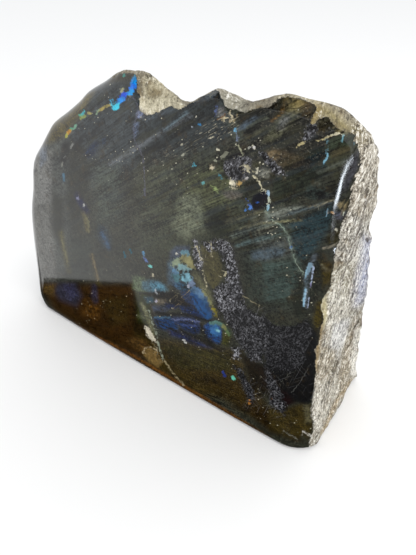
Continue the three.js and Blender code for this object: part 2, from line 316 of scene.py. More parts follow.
polishTones = {
    "ground": "#2b2c24",
    "outlines": [
        # slate and olive zones of the polished face
        ("#2b3032", 22, "60,75 215,90 235,130 190,160 120,175 50,200 30,140"),
        ("#232829", 18, "140,100 215,95 235,118 215,150 150,160"),
        ("#33362a", 26, "140,165 215,150 250,190 245,240 190,262 140,250"),
        ("#41442f", 12, "185,170 230,168 236,205 205,215 178,215"),
        ("#545848", 10, "180,196 200,194 204,230 186,240 172,226"),
        ("#1d2016", 10, "206,208 228,206 232,236 212,238"),
        ("#3c4038", 10, "228,122 262,112 262,140 236,146"),
        # the dark upper right, with its cloud, brown patch and olive corner
        ("#20201c", 9, "238,116 262,108 280,100 318,106 332,128 328,166 300,188 262,186 250,150"),
        ("#38382c", 4, "238,142 254,132 268,126 262,134 250,143 240,150"),
        ("#485460", 3, "236,131 240,126 246,121 256,116 258,117 250,124 244,129"),
        ("#444434", 5, "262,143 268,131 276,121 286,113 300,110 302,115 292,124 283,134 272,142"),
        ("#70706c", 4, "277,130 280,121 286,116 290,118 288,124 282,130"),
        ("#544834", 3, "276,99 290,97 312,101 314,106 300,108 288,107 278,104"),
        ("#706440", 4, "284,98 300,99 306,103 294,104"),
        ("#141410", 2, "304,112 309,108 312,112 310,122 306,126 304,120"),
        ("#242014", 2.5, "318,119 326,117 332,123 333,129 326,134 318,136 314,131 316,124"),
        ("#444c58", 2, "321,116 325,115 326,118 321,118"),
        ("#686044", 2, "333,128 345,126 357,128 355,132 345,131 336,134"),
        ("#383024", 4, "264,151 272,148 284,150 296,155 308,160 298,167 284,169 274,163"),
        ("#544834", 3, "266,152 274,150 280,154 276,160 270,158"),
        ("#606058", 3, "258,170 264,168 271,172 268,178 260,177"),
        ("#242418", 4, "248,160 262,163 258,170 248,168"),
        ("#08181c", 4, "308,152 325,146 326,158 312,165 304,161"),
        ("#2c3428", 3, "327,141 340,136 354,134 355,143 358,147 350,151 340,154 330,160 326,154"),
        ("#383424", 3, "330,151 345,146 357,147 350,152 338,157 330,160"),
        ("#303020", 4, "326,162 344,155 352,152 346,162 334,170 324,173"),
        # painted highlight: a grey glow beside the window's strip in the rounded right edge
        ("#38383c", 4, "350,156 359,152 360,164 352,180 345,194 342,186 346,172"),
        ("#1c2018", 4, "272,176 300,168 330,172 312,184 296,202 274,204"),
        ("#28302c", 3, "306,188 318,182 325,184 331,192 324,198 312,200 304,196"),
        ("#080808", 2, "315,191 324,193 327,198 318,200"),
        ("#74684c", 2, "338,202 345,204 348,208 346,213 341,209 337,206"),
        ("#404450", 3, "334,212 343,212 345,219 336,220"),
        ("#201c08", 3, "326,237 334,230 340,236 339,243 328,246"),
        ("#504c44", 3, "222,192 232,190 243,193 242,197 232,200 226,198"),
        ("#0c0c10", 4, "226,156 240,152 252,156 250,176 244,182 228,178 224,168"),
        ("#181810", 3, "244,182 256,180 262,188 250,194 244,190"),
        ("#504c34", 3, "252,213 266,212 268,218 254,219"),
        ("#5c5c5c", 2, "218,108 224,107 225,113 221,117 217,117"),
        ("#2a302a", 16, "240,200 290,210 300,260 290,310 250,300 243,250"),
        ("#505044", 8, "252,216 274,218 276,230 256,236"),
        ("#404440", 8, "256,240 290,236 292,256 262,262"),
        ("#1c2c30", 8, "290,222 334,204 330,226 316,250 302,264 294,250"),
        ("#303c38", 8, "262,262 300,262 298,300 266,300"),
        ("#191c16", 10, "306,262 326,240 322,290 300,320 288,300"),
        ("#404c54", 5, "252,252 270,247 286,249 282,256 266,260 252,259"),
        ("#60645c", 4, "264,214 282,208 302,206 298,212 284,217 266,222"),
        # the left end
        ("#3b3e3a", 20, "30,120 70,130 72,285 38,285"),
        ("#555551", 7, "32,150 52,150 52,215 56,280 40,282 32,230"),
        ("#62625f", 6, "36,160 50,156 52,200 36,205"),
        ("#20211a", 9, "70,140 90,150 92,180 74,230 66,200"),
        ("#373d36", 14, "92,165 118,165 122,215 98,235"),
        ("#1f2018", 8, "52,190 64,200 62,250 52,230"),
        ("#262a24", 12, "70,235 90,240 90,280 64,280"),
        ("#5a6068", 4, "38,132 46,128 47,160 40,168"),
        ("#443c1c", 8, "80,92 94,92 78,120 58,140 42,146 54,116"),
        ("#081830", 5, "84,154 90,146 97,140 99,144 94,154 88,158"),
        ("#0c243c", 4, "103,138 106,137 105,143 102,144"),
        ("#202c34", 7, "98,224 106,226 111,240 110,250 102,246 97,236"),
        ("#081438", 3, "75,196 79,196 86,206 90,212 84,210 78,204"),
        ("#080808", 4, "62,144 68,142 70,152 64,166 60,160"),
        ("#080808", 2, "22,166 36,170 34,176 22,172"),
        # dark brown and indigo below the edge of the reflection
        ("#2d1d09", 10, "38,284 134,284 140,330 160,365 100,340 55,310"),
        ("#2c2c38", 9, "48,284 76,284 82,296 76,306 60,300"),
        ("#303044", 5, "62,284 74,284 78,296 70,300"),
        ("#2c2834", 4, "92,284 97,284 98,302 94,306 91,296"),
        ("#442c0c", 8, "84,300 100,306 98,322 82,314"),
        ("#30240c", 8, "102,300 128,296 130,322 112,326"),
        ("#48381c", 6, "40,284 56,284 54,296 42,292"),
        # the greenish zone right of it
        ("#201808", 5, "133,286 150,286 156,340 140,346 133,330"),
        ("#242808", 5, "136,292 148,292 152,318 150,326 138,322"),
        ("#505c44", 5, "133,276 142,277 150,282 148,290 138,292 133,288"),
        # lower band
        ("#33290f", 12, "135,335 240,352 250,400 200,395 150,365"),
        ("#2c220a", 12, "195,375 260,385 270,425 240,410"),
        ("#1f1402", 10, "240,405 290,410 300,440 270,432"),
        ("#302810", 6, "268,408 284,410 304,402 308,430 296,440 270,430"),
        ("#342c14", 6, "303,404 314,406 313,428 307,440 302,430"),
        ("#4c4834", 4, "303,404 313,406 312,422 306,424"),
        ("#2c2810", 6, "160,344 230,352 232,372 180,368"),
        ("#171208", 6, "240,352 268,368 268,396 252,388"),
        ("#483418", 6, "126,340 136,337 146,341 150,347 142,352 132,346"),
        ("#685430", 3, "144,348 152,348 158,352 163,362 158,367 150,362 144,356"),
        ("#302808", 4, "320,260 332,264 331,280 323,288"),
        ("#342c08", 5, "317,302 323,300 323,322 316,332 313,320"),
        # the play of colour in the middle, its soft parts: painted sheen of the labradorite, laid on as fixed
        # colour
        ("#38404c", 4, "170,252 176,246 190,246 190,252 178,258 170,260"),
        ("#405c68", 4, "142,281 150,280 158,281 165,285 168,290 160,293 150,292 142,289"),
        ("#487488", 3, "150,283 156,282 162,285 165,289 160,291 152,290"),
        ("#080808", 2, "157,291 163,291 167,294 166,299 160,299 154,297 152,294"),
        ("#28404c", 3, "144,297 152,297 155,302 147,303"),
        ("#5c5448", 3, "156,299 166,300 167,303 160,305 155,303"),
        ("#080808", 3, "166,293 172,291 178,294 180,300 179,306 175,309 171,303 167,299"),
        ("#345878", 3, "173,281 180,282 184,285 184,290 178,289 173,285"),
        ("#4c5468", 4, "183,288 190,288 195,294 194,300 188,302 182,300"),
        ("#343c4c", 4, "152,306 166,306 170,309 164,312 154,312"),
        ("#081838", 2, "165,303 172,303 178,307 174,309 166,308"),
        ("#082044", 3, "180,305 188,306 197,310 206,315 211,319 203,318 194,315 182,311"),
        ("#081024", 3, "186,300 193,298 197,304 199,309 193,306 187,305"),
        ("#082c54", 4, "153,318 165,317 176,319 178,329 168,331 158,327"),
        ("#202c4c", 4, "172,317 188,317 200,320 199,325 184,324 174,321"),
        ("#102448", 3, "176,322 190,322 200,326 200,333 194,334 184,330"),
        ("#141c3c", 5, "168,330 178,331 190,337 204,344 212,349 196,345 182,339 170,335"),
        ("#143868", 3, "204,326 208,323 214,322 219,325 222,331 222,338 219,344 213,342 208,337 205,331"),
        ("#40503c", 3, "216,321 222,322 230,331 231,338 226,336 222,328"),
        ("#34340c", 4, "222,330 231,336 228,346 222,344"),
        ("#244458", 5, "176,283 188,284 198,292 206,304 212,318 204,320 196,308 184,296"),
        ("#3c4c58", 6, "168,262 176,258 176,284 168,284"),
        ("#080808", 3, "166,296 176,293 188,300 196,306 190,308 176,306 168,303"),
        ("#4c4c38", 3, "192,271 197,272 203,282 210,292 213,300 211,305 206,298 200,288 194,279"),
        ("#1c2c48", 3, "180,291 188,290 196,297 200,306 196,308 188,303 183,298"),
        ("#0c2044", 3, "178,306 190,307 202,312 208,318 198,317 184,312"),
        # dark zones
        ("#080814", 1.2, "250.5,201 254,195 261,191.5 268,190 269,200 268,211 253,211.5"),
        ("#08090b", 7, "275,333 295,328 307,320 318,333 318,352 315,372 313,402 303,405 287,397 270,381 "
                       "265,366"),
        ("#242828", 6, "276,330 300,326 304,345 296,362 284,364 276,350"),
        ("#080808", 3, "300,352 314,354 312,400 302,400 280,388 282,372 298,368"),
        ("#080808", 3, "303,330 311,326 313,345 314,398 306,400 300,384 304,356"),
        ("#1c140c", 5, "258,366 270,372 280,386 276,396 262,386"),
        ("#140808", 4, "270,384 286,392 296,402 284,408 270,400"),
        ("#444028", 3, "200,246 214,246 221,262 223,276 214,290 206,280 202,262"),
        ("#2c2408", 3, "108,82 120,74 140,74 138,80 124,80"),
        # pale fracture films of the upper face
        ("#646c84", 2, "137,111 143,112 144,117 140,119 136,118"),
        ("#58647c", 2, "134,121 139,123 138,131 136,138 133,137 133,129"),
    ],
    "lines": [
        # tan streaks in the haze and the warm bottom edge
        ("#585030", 4, 1.8, "84,213 88,230"),
        ("#444020", 6, 1.8, "61,232 64,250 69,272"),
        ("#443c1c", 5, 1.4, "92,255 96,272 98,284"),
        ("#080c2c", 7, 2.0, "77,194 82,204 86,212"),
        ("#284058", 4, 1.6, "101,232 106,241 109,248"),
        ("#203848", 4, 1.0, "63,174 64,181"),
        ("#5b3a16", 3, 1.5, "52,312 90,334 130,354 180,384 230,414 268,438"),
        ("#4a4e52", 5, 2.0, "110,164 140,146 165,130 190,116"),
        ("#54646c", 3, 1.2, "165,130 176,121 187,112"),
        ("#3d444a", 5, 2.0, "146,120 176,107 214,96"),
        ("#121410", 3, 1.0, "150,152 190,128 214,116"),
        ("#545c54", 4, 1.6, "232,236 254,228 276,223"),
        ("#504c34", 4, 1.6, "226,222 250,214 266,210"),
        ("#485858", 4, 1.4, "236,246 256,240 282,234"),
        ("#445054", 4, 1.2, "288,214 312,207 330,203"),
        ("#5c6860", 3, 0.9, "269,205 266,211 270,219 279,224 285,230 289,238 292,248 295,258 299,268 "
                            "304,275"),
        ("#080808", 2, 1.6, "156,312 170,315 182,314 192,316 202,319 211,321"),
        ("#080808", 2, 1.2, "180,329 187,334 196,337 205,342 214,347 222,351"),
        ("#080808", 2, 1.4, "201,325 203,331 206,337 211,343"),
        ("#080808", 2, 0.9, "139,293 149,294 156,292"),
        ("#10181c", 2, 0.8, "180,271.5 191,271.5"),
        ("#30301c", 2, 0.8, "180,261 186,266 191,271"),
        ("#68684c", 3, 1.4, "142,304 146,312 150,324 154,334"),
        ("#444830", 3, 1.2, "138,316 146,318"),
        # painted highlight: the soft glow around the window's second image in the polish
        ("#4c545c", 4, 2.0, "315,256 309,268 306,280"),
        ("#343c40", 4, 2.0, "307,280 305,305"),
        # the upper right
        ("#444840", 4, 1.5, "318,172 333,166 346,160"),
        ("#48483c", 2, 0.6, "316,183 323,184 330,192 334,198"),
        ("#605844", 1.5, 0.5, "306,207 320,205 333,200"),
        ("#807c5c", 2, 0.6, "240,229 256,224 276,222 300,220"),
        ("#080808", 2, 1.0, "244,134 256,124 270,116"),
        ("#4c5044", 2, 0.8, "246,128 258,121 268,117"),
        ("#1c1810", 2, 0.8, "276,112 290,108 306,106"),
        ("#6c5024", 1.5, 0.5, "272,121 280,114 288,110"),
        ("#080808", 2, 1.0, "284,170 298,163 310,160"),
        ("#1c2828", 3, 1.4, "306,172 318,167 326,166"),
        ("#807868", 2, 0.6, "323,248 330,247 338,244"),
        ("#706c58", 2, 0.6, "322,265 326,270 331,271"),
    ],
}

crustTones = {
    "ground": "#8b8474",
    "outlines": [
        ("#aaa292", 12, "350,130 385,130 385,240 345,240 338,215"),
        ("#b3aea2", 10, "338,212 352,215 345,262 325,280 328,250"),
        ("#b4b0a6", 10, "352,215 375,220 372,262 346,262"),
        ("#9d9784", 10, "325,262 352,262 345,310 320,320 318,295"),
        ("#b2ad9f", 8, "322,300 336,290 350,300 352,330 340,352 326,340"),
        ("#c0bfbc", 5, "334,322 350,318 346,340 336,356 330,350"),
        ("#9a9fb6", 15, "364,236 376,242 372,275 364,302 355,305 357,280 362,258"),
        ("#9c9079", 5, "354,318 358,322 352,345 350,372 338,398 334,392 342,360"),
        ("#988d76", 5, "315,346 336,350 330,384 316,388"),
        ("#b4ae9f", 7, "318,385 336,372 340,390 326,428 314,432 314,400"),
        ("#e0dcd2", 3, "355,332 360,320 361,352 356,378 350,374 352,350"),
        ("#a08c68", 3, "350,378 354,380 340,400 330,420 324,434 320,436 332,406"),
        ("#b5ab84", 5, "320,300 326,296 328,318 322,330"),
        ("#a08a60", 3, "320,325 323,325 319,350 318,372 315,372 316,350"),
        ("#beb69c", 6, "137,72 160,78 176,96 190,112 150,116 136,104"),
        ("#8e8366", 4, "138,86 146,84 158,88 166,97 152,98 140,94"),
        ("#8b866f", 3, "146,74 152,76 152,82 145,80"),
        ("#7c7460", 3, "136,72 142,73 144,82 142,91 136,93"),
        ("#8f8b7c", 5, "216,88 228,92 250,104 246,122 222,122"),
        ("#8b8472", 5, "246,104 275,98 276,112 250,118"),
        ("#a89f86", 5, "276,92 320,98 352,118 372,140 350,135 310,108 276,102"),
        ("#948b74", 6, "350,122 366,128 372,142 360,146 352,136"),
        ("#857c60", 3, "333,127 345,126 357,127 362,131 356,135 345,132 336,133"),
        ("#968a62", 4, "318,106 332,108 344,122 348,131 334,128 324,114"),
        ("#8c7c50", 3, "312,104 320,106 323,113 317,122 311,128 308,122"),
    ],
    "lines": [
        ("#45341f", 1.5, 0.9, "366,190 365,200 364,208 361,220 359,228 356,235 355,245 352,255 349,262 "
                              "345,270 342,280 341,290 338,298"),
        ("#2c2218", 1.5, 0.6, "366,200 364,209"),
        ("#443826", 2.0, 0.8, "357,320 353,332 350,345"),
        ("#574b38", 2.0, 0.8, "341,352 336,366 331,378"),
        # painted shadow: a dark curved line across the pale saddle on top
        ("#544a38", 3.0, 1.0, "139,92 145,96 152,97"),
    ],
}

# play of colour, its crisp parts, with other small markings: outline, or line with a half width; the flashes
# of colour are painted sheen of the labradorite, laid on as fixed colour
flashes = {
    "outlines": [
        ("#0890e8", "129,76.5 136.5,76.5 137,80 136,84 130.5,84 130,80"),
        ("#0870e0", "130,83 136,82 136.5,87 133,91 128.5,90"),
        ("#3898b4", "135,86 138,85 137,89 134,91"),
        ("#0894dc", "128,89 133.5,87.5 134,92 131,96 127.5,94.5"),
        ("#084cd4", "119,97 123.5,92.5 130,90.5 128,96 123,99"),
        ("#0884dc", "116,100 119.5,96 124,96.5 127,94 126,100 121.5,103.5 117,103.5"),
        ("#34cce8", "111.5,107 113,105 117,102 120,102 119.5,107 118,110 115,110.5 112.5,109"),
        ("#149cc4", "110,100 112.5,99.5 112.5,103 110.5,103.5"),
        ("#807c54", "180,257 186,255.5 191,256 193,261 195.5,269 191,269 187,265 182,261"),
        ("#7c8870", "171,262.5 174,259 178,258 181,261 181,264 177,266 171,266"),
        ("#6c8c90", "176,264 182,263 188,267 191,270 186,270.5 178,270"),
        ("#507490", "171,268 176,269 179,271.5 178,274 173,273"),
        ("#406870", "171,274 179,273 181,277 179,283 174,281"),
        ("#70a0b0", "180,276 182,273 190,273 191,278 186,282.5 181,281"),
        ("#5c6c84", "187,280 193,278 195,284 192,288 188,286"),
        ("#507090", "192,286 199,288 203,292 206,298 203,298 197,295 193,291"),
        ("#284c70", "195,295 201,297 206,298 209,304 204,305 198,301"),
        ("#203c60", "199,303 207,303 210,308 213,314 212,318 206,315 202,311"),
        ("#2c5c8c", "211,325 216,324 220,329 220,336 215,337 210,332"),
        ("#407c9c", "213,327 217,326 220,330 218,333 214,332"),
        ("#d4ccb4", "231,175 233,178 234,181 234,184 232,186 229.5,187 228.5,184 229.5,180"),
        ("#c8bca0", "231,186.5 234,185.5 237,187 236,189 232,189"),
        # painted shade in the hollow of the cream chip: its brown part and the near-black spot
        ("#b49458", "237,184 240,181 244,180 242,184 238,188"),
        ("#080808", "234.5,184 237,181.5 238,182.5 235.5,184.5"),
        ("#c8bca0", "209.5,165 212,164.5 213,167 215,166.5 214,169 212,171 210,169"),
        ("#4cb4cc", "194,161.5 196,166.5 191.5,167"),
        ("#3c8090", "218,174 221,175 223,178 221,180"),
        ("#68b0b0", "201,184 201.5,182.5 204,181.5 205,183 203,185"),
        ("#889860", "209,184 213,186 217,188 219,191 218,193 214,190"),
        ("#5c6ca0", "215,108 217.5,104.5 217.5,111 216,117 214,116"),
        ("#748098", "235.5,136 237.5,133.5 239,136 239,140 237.5,143 236,140"),
        ("#405ca8", "246,199 248,200 250,204 252,206 250,206.5 247,203"),
        ("#ccc4b0", "144,326 149,328 152,333 156,339 157,343 152,341 147,336"),
        ("#184474", "190,291 196,292 203,300 208,309 212,318 207,320 200,313 194,304"),
        ("#686020", "211,307 214,306 217,311 218.5,318 215,317 212,313"),
    ],
    "lines": [
        ("#8c8048", 1.0, "111,104 107,106 103,108"),
        ("#9c8c48", 1.1, "104,107.5 100,110"),
        ("#80987c", 0.7, "98,110.5 96.5,113.5"),
        ("#3ca0a8", 0.9, "84,111.5 82,115"),
        ("#808c48", 0.9, "80.5,119 83,117 86,116"),
        ("#908850", 0.9, "88,113 91,113.5"),
        ("#449078", 0.8, "79.5,115 82,116"),
        ("#68947c", 0.8, "76.5,125 75,127 74,129"),
        ("#b07c08", 1.3, "70,130 68.5,133"),
        ("#909038", 0.9, "67,134 66,137"),
        ("#448c6c", 0.8, "70,128 72,129"),
        ("#848464", 1.0, "123,89 121.5,92"),
        # flecks and tan streaks of the left end
        ("#747470", 0.45, "73,144 70.5,148"),
        ("#747470", 0.4, "65,156 64,158"),
        ("#686860", 0.35, "63,162 61.5,166"),
        ("#707088", 0.7, "77.5,197 78,199"),
        ("#9c9c98", 0.5, "84,204.5 83.5,207"),
        ("#605c40", 0.8, "85,216 88,222 89,233"),
        ("#585438", 0.5, "62,240 65,252 67,262"),
        ("#5c5038", 0.5, "92,254 95,266 98,280"),
        ("#385c70", 0.7, "63.5,174 64,180"),
        ("#20786c", 1.0, "124,72 124,76"),
        ("#386874", 0.7, "133,74 137,75"),
        ("#70704c", 1.0, "203,291 208,298 211,305"),
        ("#887c1c", 1.0, "212,308 214,310"),
        ("#8cc4cc", 0.8, "217,330.5 219,331.5"),
        ("#18383c", 0.8, "183,275 185,277"),
        ("#989ca8", 0.7, "188,286 189,287"),
        ("#545c7c", 0.45, "172,319 176,320 188,319 199,322"),
        ("#384470", 0.5, "183,325 198,326"),
        ("#385870", 0.6, "155,317.5 170,317.5"),
        ("#50746c", 1.2, "210,323 216,322 221,324"),
        ("#707044", 1.2, "222,325 225,328"),
        ("#4c603c", 0.9, "226,330 229,335"),
        ("#587c88", 1.5, "182,252 184,254"),
        ("#587c88", 1.5, "187,252 188,254"),
        ("#243884", 1.1, "223,372 225,376"),
        ("#60b8a0", 1.2, "233,377 234,379"),
        # splinters and flecks of the upper part
        ("#c8bc9c", 0.28, "230,110.5 229.5,114 228,118"),
        ("#c8bc9c", 0.28, "234,112 233,116 231,121"),
        ("#bcb090", 0.25, "226,113 225.5,117 224,121"),
        ("#988c74", 0.2, "231,118 229.5,121 228,124"),
        ("#a09474", 0.2, "222.5,117 221.5,121"),
        ("#8c7c58", 0.3, "237,115 235,121 234,124"),
        ("#c4bca4", 0.6, "210,138 213,136.5"),
        ("#c4c0b0", 0.5, "196.5,116 195,118.5"),
        ("#a8b0bc", 0.5, "191,126 193,128"),
        ("#5c4430", 0.5, "217,119 222,117 226,114"),
        ("#b0ac98", 0.7, "181,145 182,144"),
        ("#989888", 0.8, "182,155 184,154"),
        ("#b4b09c", 0.8, "217,149 219,150"),
        ("#7c7c6c", 1.3, "222,157 225,155 227,152"),
        ("#a0a08c", 0.8, "215,160.5 217,161"),
        ("#2870a0", 0.8, "199,124 200,125"),
        ("#6098b8", 0.8, "235,128 235,131"),
        ("#b8b4b0", 1.0, "253,147 254,147.5"),
        ("#9c9c90", 0.8, "248,147 249,149"),
        ("#a8a4a0", 1.1, "246,179 247.5,178"),
        ("#b8b4a0", 0.6, "257,169 256.5,174"),
        ("#5080d0", 0.9, "250.5,205 251.5,210"),
        ("#3c6ca8", 0.9, "245,210 246.5,209"),
        ("#2c60b8", 0.7, "257,202.5 258.5,203"),
        ("#9cb8d0", 0.9, "268,191 268.5,197"),
        ("#b8bca8", 0.8, "269,198 269.5,203"),
        ("#8cb4c8", 0.9, "268.5,206 267.5,210"),
        ("#5c8894", 0.45, "343,137 341,143"),
        ("#74a4b8", 0.75, "328,140 327.5,146 326.5,152 327.5,156 325.5,160 323.5,163"),
        ("#6c8c98", 0.6, "355,142 354,144"),
        ("#ccc4a8", 0.8, "329,136 337,133.5 346,131.5"),
        ("#a89c74", 0.6, "316,141 323,139 330,136"),
        ("#a89c74", 0.9, "297,147 300,145 304,142"),
        ("#b49068", 0.8, "330,212 333,213"),
        ("#b0b4a4", 1.2, "344,213 346,217"),
        ("#b0ac9c", 0.9, "336,229 339,232"),
        ("#6c8898", 0.5, "328,209 326,217"),
        ("#c8bca0", 0.6, "274,99 276,103 273,107"),
        # painted highlight: a second image of the window's strip in the polish, drawn as pale blue lines down
        # the right of the face
        ("#6c8494", 1.6, "310,264 308,272"),
        ("#84a8bc", 0.7, "307,270 305,288 303.5,306"),
        ("#9ca8c0", 0.35, "314,266 311,280 309,292 307,309"),
        ("#746c94", 0.3, "312.5,274 310.5,284 309.5,289"),
        ("#5080a4", 0.8, "143,252 144,254.5"),
        ("#4c6094", 0.6, "143.5,257 145,258"),
        ("#50689c", 0.7, "145.5,260 147,262"),
        ("#6cb8b4", 1.0, "149,265.5 151,266.5"),
        ("#085060", 0.7, "124,252 125.5,257"),
        ("#085060", 0.6, "130,249 131.5,253"),
        ("#b0742c", 1.2, "250,401 250,403"),
        ("#a0682c", 1.0, "272,399 272,400"),
        ("#4068a4", 0.8, "291,247 291,250"),
        ("#b0b0ac", 0.7, "183,340 186,342.5"),
        ("#b4ac94", 0.6, "153,274 153,276"),
        ("#c0bcb0", 0.6, "176,253 177,254"),
        ("#a8acb0", 0.4, "155,289 157,294"),
        ("#a8a4b4", 0.8, "156,300 156,301"),
    ],
}

# cracks, fibres and thin scratches: tone, half width in pixels, line
cracks = [
    ("#080808", 0.35, "179,297 183,302 186,307 192,311"),
    ("#080808", 0.3, "193,296 197,303 201,310 206,315"),
    ("#080808", 0.3, "173,277 178,281 184,284 188,290"),
    ("#080808", 0.25, "172,290 178,287 184,288"),
    ("#08080c", 0.35, "160,324 170,328 180,333"),
    ("#08080c", 0.3, "188,322 193,327 197,334"),
    ("#080808", 0.3, "156,318 158,325 163,330"),
    ("#4c4c58", 0.45, "131,96 135,99 137,104 138,111 136,119 134,128 134,138 137,146 141,152 143,158 "
                      "144,168 144,180 145,196"),
    ("#78786c", 0.6, "130,96 134,98 136,102"),
    ("#9c9c80", 0.6, "238,145 241,150 243,155"),
    ("#c8c0a0", 0.7, "242.5,164 244,166 246,169"),
    ("#c8c0a0", 0.6, "245,169 251,174 257,179 260,184 263,189"),
    ("#b0ac98", 0.35, "263,189 267,191"),
    ("#707060", 0.15, "253,212 260,212.5 267,212"),
    ("#9c9478", 0.4, "246,165 251,170 255,172"),
    ("#7c8c7c", 0.3, "269,204 266,211 270,219 279,224 285,230 288,236 290,246 293,254 296,263 300,269 "
                     "304,273"),
    ("#889080", 0.4, "149,310 151,318 153,325 156,332 158,342 160,350 163,358"),
    ("#948868", 0.5, "163,358 168,366 172,372 178,379 184,385"),
    ("#a49474", 0.5, "143,353 145,348 150,347 156,350"),
    ("#807c68", 0.3, "318,206 326,203 333,200"),
    ("#b0a888", 0.5, "196,246 198,251 200,257 202,260"),
    ("#b0a888", 0.4, "203,270 204,277 206,284 207,288"),
    ("#b8b090", 0.6, "226,273 223,278"),
    ("#a49c80", 0.4, "210,242 211,250 212,258"),
    ("#847858", 0.2, "168.5,301 173,297.5 178,293.5"),
    ("#887858", 0.2, "181,298 186,294 190,290"),
    ("#78684c", 0.2, "173,309 176,306 179,304"),
    ("#80785c", 0.3, "242,296 250,300 260,306"),
    ("#54544c", 0.1, "279,384 286,377 292,371"),
    ("#545450", 0.1, "291,393 299,384 305,374 311,362"),
    ("#606058", 0.5, "283,431 290,435 297,439"),
    ("#c4c0b8", 0.6, "303,431 308,434 312,437"),
    ("#080808", 0.3, "203,97 206,92"),
    ("#747464", 0.3, "209,97 213,91"),
]

# matte patches that the polish missed: how chalky (0 to 1), then the outline
matte = [
    (0.14, "262,316 275,326 295,326 307,320 312,332 308,345 304,362 290,372 276,368 266,366 262,340"),
    (0.28, "221,310 236,306 246,309 256,314 268,321 276,330 275,345 263,352 262,362 250,361 246,352 "
           "240,346 236,338 231,328 224,318"),
    (0.6, "213,290 222,284 236,280 240,281 242,295 246,309 236,316 226,318 219,310 215,300"),
    (0.9, "215,240 224,240 231,247 235,260 238,272 240,284 232,286 226,278 226,268 222,256 216,248"),
    (1.3, "192,240 196,241 200,252 203,262 200,270 196,266 194,254"),
    (0.9, "232,348 239,346 240,359 234,359"),
    (0.5, "202,242 214,240 217,250 208,252"),
    (0.25, "264,366 270,372 278,386 284,398 280,402 272,396 266,384"),
    (0.22, "234,366 240,368 248,382 254,392 252,406 247,398 240,380"),
    (0.42, "270,396 280,399 286,404 285,416 277,411 270,404"),
    (0.4, "224,161 240,156 252,157 250,166 247,176 238,181 228,178 223,168"),
    (0.6, "308,125 315,124 318,130 312,137 306,142 302,139 305,131"),
    (0.6, "258,152 266,153 272,160 282,170 286,175 276,175 268,166 262,159"),
]

# cream chips: middle, radius in pixels, depth in millimetres
chips = [((233, 183), 3.5, 0.8), ((212, 168), 2.5, 0.6), ((240, 181), 2.5, 0.5), ((151, 335), 3.0, 0.3),
         ((325, 124), 7.0, 1.4), ((316, 354), 3.0, 0.6)]

# how strongly some things show: 0 to 1, softness, outline
shares = {
    # where pale specks are thick
    "speckShare": [
        (0.3, 10, "186,122 214,112 236,112 250,150 230,165 196,150"),
        (0.8, 14, "225,140 290,140 290,180 230,185"),
        (0.5, 20, "60,150 200,150 190,240 80,240"),
        (0.25, 10, "145,255 240,262 240,350 150,345"),
        (0.7, 8, "256,100 310,102 334,130 320,165 268,170 262,140"),
        (0.4, 16, "250,210 320,180 320,300 250,300"),
        (0.3, 8, "265,330 300,330 300,380 270,400"),
        (0.25, 8, "240,365 280,395 276,420 246,405"),
        (0.35, 10, "150,335 240,350 250,385 300,420 290,435 200,390 150,355"),
        (0.12, 10, "44,286 132,286 134,330 90,325 50,305"),
    ],
    # where thin pale splinters stand along the slant
    "splinterShare": [
        (1.0, 3, "216,120 222,114 236,112 238,118 228,125 212,130 208,127"),
        (0.75, 4, "196,132 214,118 232,122 240,126 226,138 208,144"),
        (0.25, 5, "160,150 206,128 214,140 190,152 150,166"),
    ],
    # where the fine slanting streaks show, and the flatter ones of the lower band
    "streakShare": [
        (1.0, 24, "60,90 240,85 300,100 350,130 335,250 250,255 215,232 150,235 80,200"),
        (0.6, 14, "250,240 320,240 310,320 260,310"),
        (0.4, 20, "40,140 150,150 150,260 60,280"),
    ],
    "flatShare": [
        (1.0, 10, "146,300 205,310 232,352 262,385 240,420 190,395 150,350"),
        (0.6, 10, "52,290 134,290 150,352 100,335 56,305"),
    ],
    # where hairline scratches show
    "scratchShare": [
        (0.3, 8, "270,330 312,325 316,400 285,398 262,372"),
        (0.5, 8, "222,300 262,300 275,350 240,350"),
        (0.7, 8, "232,352 262,372 285,402 280,418 244,408"),
    ],
}

# painting the markings onto the points, and the roughness of the broken crust

def tint(code):
    # a colour such as "#8b8474" as linear red, green and blue
    value = np.array([int(code[n:n + 2], 16) for n in (1, 3, 5)])/255
    return np.where(value <= 0.04045, value/12.92, ((value + 0.055)/1.055)**2.4)

def metres(points):
    return (points - np.array(stoneShape["middle"]))/1000

pixelX, pixelY = photoPixels(metres(form))
towardsEye = np.array(camera["place"]) - metres(form)
facing = (normals*towardsEye).sum(1)/np.linalg.norm(towardsEye, axis=1)
seen = smooth(-0.05, 0.15, facing)      # how well the photo shows a point, from 0 to 1
inSight = seen > 0.5

